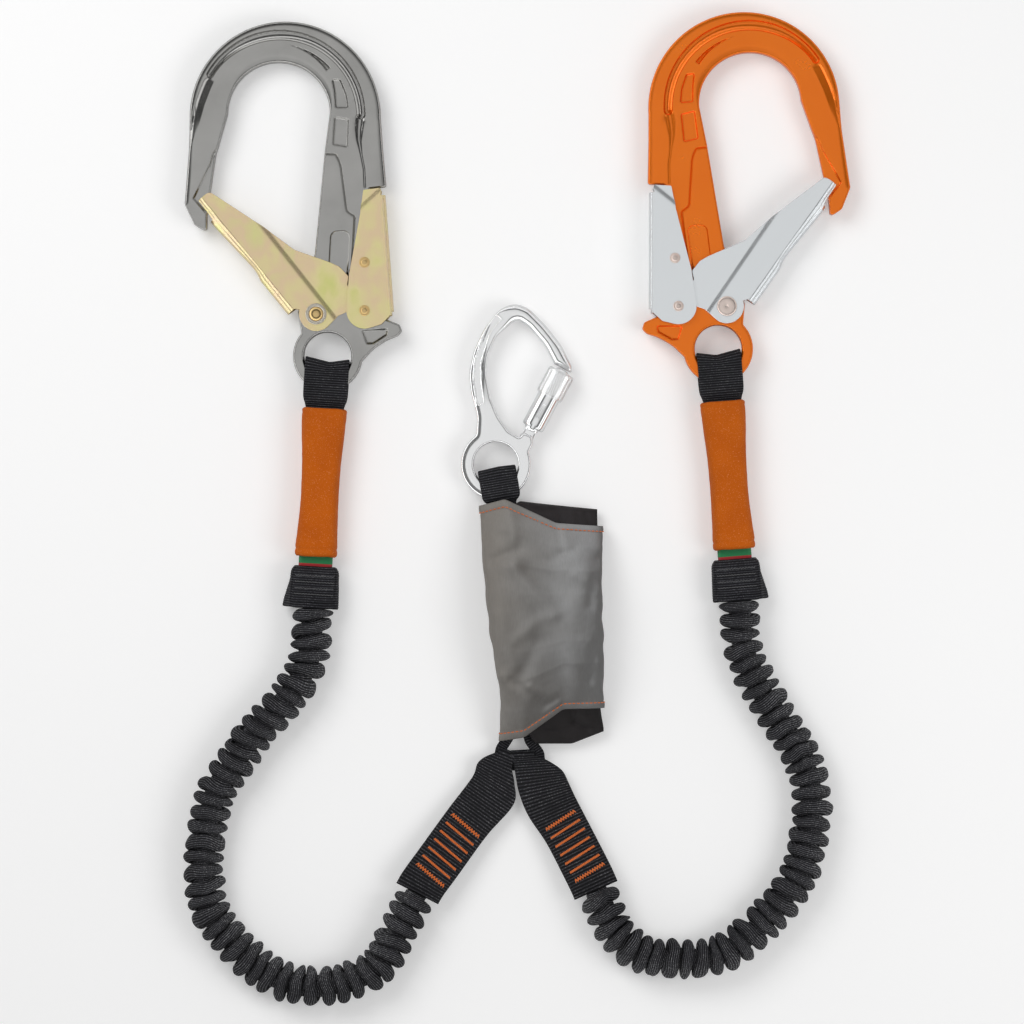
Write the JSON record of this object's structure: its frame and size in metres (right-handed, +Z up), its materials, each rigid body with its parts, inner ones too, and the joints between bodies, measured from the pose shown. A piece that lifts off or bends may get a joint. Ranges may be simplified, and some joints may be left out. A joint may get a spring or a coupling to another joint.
{
  "type": "twin shock-absorbing lanyard",
  "caption": "Twin fall-arrest lanyard with scaffold hooks, gathered elastic legs, a pouched tear-webbing absorber and a locking carabiner.",
  "frame": {"origin": "middle of the plan box of everything but the gathered legs, on the surface it lies on", "axes": "+X to the right as seen from above, +Y from the absorber towards the hooks, +Z up from the surface"},
  "size_m": [0.4139, 0.6165, 0.0379],
  "materials": {
    "grey_steel": "polished gunmetal grey",
    "orange_anodised": "gloss orange anodised",
    "yellow_zinc": "yellow passivated zinc",
    "bright_zinc": "bright zinc",
    "polished_aluminium": "polished",
    "spring_steel": "bright spring wire",
    "black_webbing": "woven webbing",
    "black_cloth": "woven cloth",
    "orange_grip": "laminated foam cloth",
    "grey_cloth": "coarse woven cloth",
    "green_label": "woven label",
    "elastic_rubber": "latex strands"
  },
  "bodies": {
    "lanyard": {"absorber_bag": "black_cloth", "absorber_cover": "grey_cloth", "absorber_lower_loop": "black_webbing", "absorber_top_loop": "black_webbing", "absorber_webbing": "black_webbing", "left_cuff": "black_webbing", "left_grip": "orange_grip", "left_hook_loop": "black_webbing", "left_label_band": "green_label", "left_leg": "black_webbing", "left_leg_core": "elastic_rubber", "left_strap": "black_webbing", "right_cuff": "black_webbing", "right_grip": "orange_grip", "right_hook_loop": "black_webbing", "right_label_band": "green_label", "right_leg": "black_webbing", "right_leg_core": "elastic_rubber", "right_strap": "black_webbing"},
    "left_hook": {"left_hook_body": "grey_steel", "left_gate_rivet": "yellow_zinc", "left_gate_spring": "spring_steel", "left_lever_rivet": "yellow_zinc", "left_lever_spring": "spring_steel"},
    "left_gate": {"left_hook_gate": "yellow_zinc"},
    "left_lever": {"left_hook_lever": "yellow_zinc", "left_lever_catch_pin": "yellow_zinc"},
    "right_hook": {"right_hook_body": "orange_anodised", "right_gate_rivet": "bright_zinc", "right_gate_spring": "spring_steel", "right_lever_rivet": "bright_zinc", "right_lever_spring": "spring_steel"},
    "right_gate": {"right_hook_gate": "bright_zinc"},
    "right_lever": {"right_hook_lever": "bright_zinc", "right_lever_catch_pin": "bright_zinc"},
    "carabiner": {"carabiner_body": "polished_aluminium", "carabiner_gate_pin": "spring_steel", "carabiner_gate_spring": "spring_steel"},
    "carabiner_gate": {"carabiner_gate": "polished_aluminium"},
    "carabiner_sleeve": {"carabiner_sleeve": "polished_aluminium"},
    "carabiner_lock_ring": {"carabiner_lock_ring": "polished_aluminium"}
  },
  "joints": [
    {"name": "left_hook_swing", "type": "hinge", "parent": "lanyard", "child": "left_hook", "pos_m": [-0.11758, 0.06317, 0.011], "axis": [0, 0, 1], "range_deg": [-35, 35]},
    {"name": "left_gate_hinge", "type": "hinge", "parent": "left_hook", "child": "left_gate", "pos_m": [-0.12459, 0.08907, 0.011], "axis": [0, 0, 1], "range_deg": [-34, 0], "stiffness_Nm_per_rad": 0.3, "springref_deg": 17.19},
    {"name": "left_lever_hinge", "type": "hinge", "parent": "left_hook", "child": "left_lever", "pos_m": [-0.09459, 0.09117, 0.011], "axis": [0, 0, 1], "range_deg": [0, 6], "stiffness_Nm_per_rad": 0.3, "springref_deg": -17.19},
    {"name": "right_hook_swing", "type": "hinge", "parent": "lanyard", "child": "right_hook", "pos_m": [0.12441, 0.06757, 0.011], "axis": [0, 0, 1], "range_deg": [-35, 35]},
    {"name": "right_gate_hinge", "type": "hinge", "parent": "right_hook", "child": "right_gate", "pos_m": [0.12959, 0.0939, 0.011], "axis": [0, 0, 1], "range_deg": [0, 34], "stiffness_Nm_per_rad": 0.3, "springref_deg": -17.19},
    {"name": "right_lever_hinge", "type": "hinge", "parent": "right_hook", "child": "right_lever", "pos_m": [0.09952, 0.0939, 0.011], "axis": [0, 0, 1], "range_deg": [-6, 0], "stiffness_Nm_per_rad": 0.3, "springref_deg": 17.19},
    {"name": "carabiner_swing", "type": "hinge", "parent": "lanyard", "child": "carabiner", "pos_m": [-0.01338, -0.00383, 0.00905], "axis": [0, 0, 1], "range_deg": [-35, 35]},
    {"name": "carabiner_gate_hinge", "type": "hinge", "parent": "carabiner", "child": "carabiner_gate", "pos_m": [0.00562, 0.01207, 0.00905], "axis": [0, 0, 1], "range_deg": [0, 28], "stiffness_Nm_per_rad": 0.1, "springref_deg": -17.19},
    {"name": "carabiner_sleeve_twist", "type": "hinge", "parent": "carabiner_gate", "child": "carabiner_sleeve", "pos_m": [0.00562, 0.01207, 0.00905], "axis": [0.4695, 0.8829, 0], "range_deg": [0, 90], "stiffness_Nm_per_rad": 0.02, "springref_deg": -17.19},
    {"name": "carabiner_lock_slide", "type": "slide", "parent": "carabiner_sleeve", "child": "carabiner_lock_ring", "axis": [-0.4695, -0.8829, 0], "range_m": [0, 0.003], "stiffness_N_per_m": 300, "springref_m": -0.002}
  ]
}
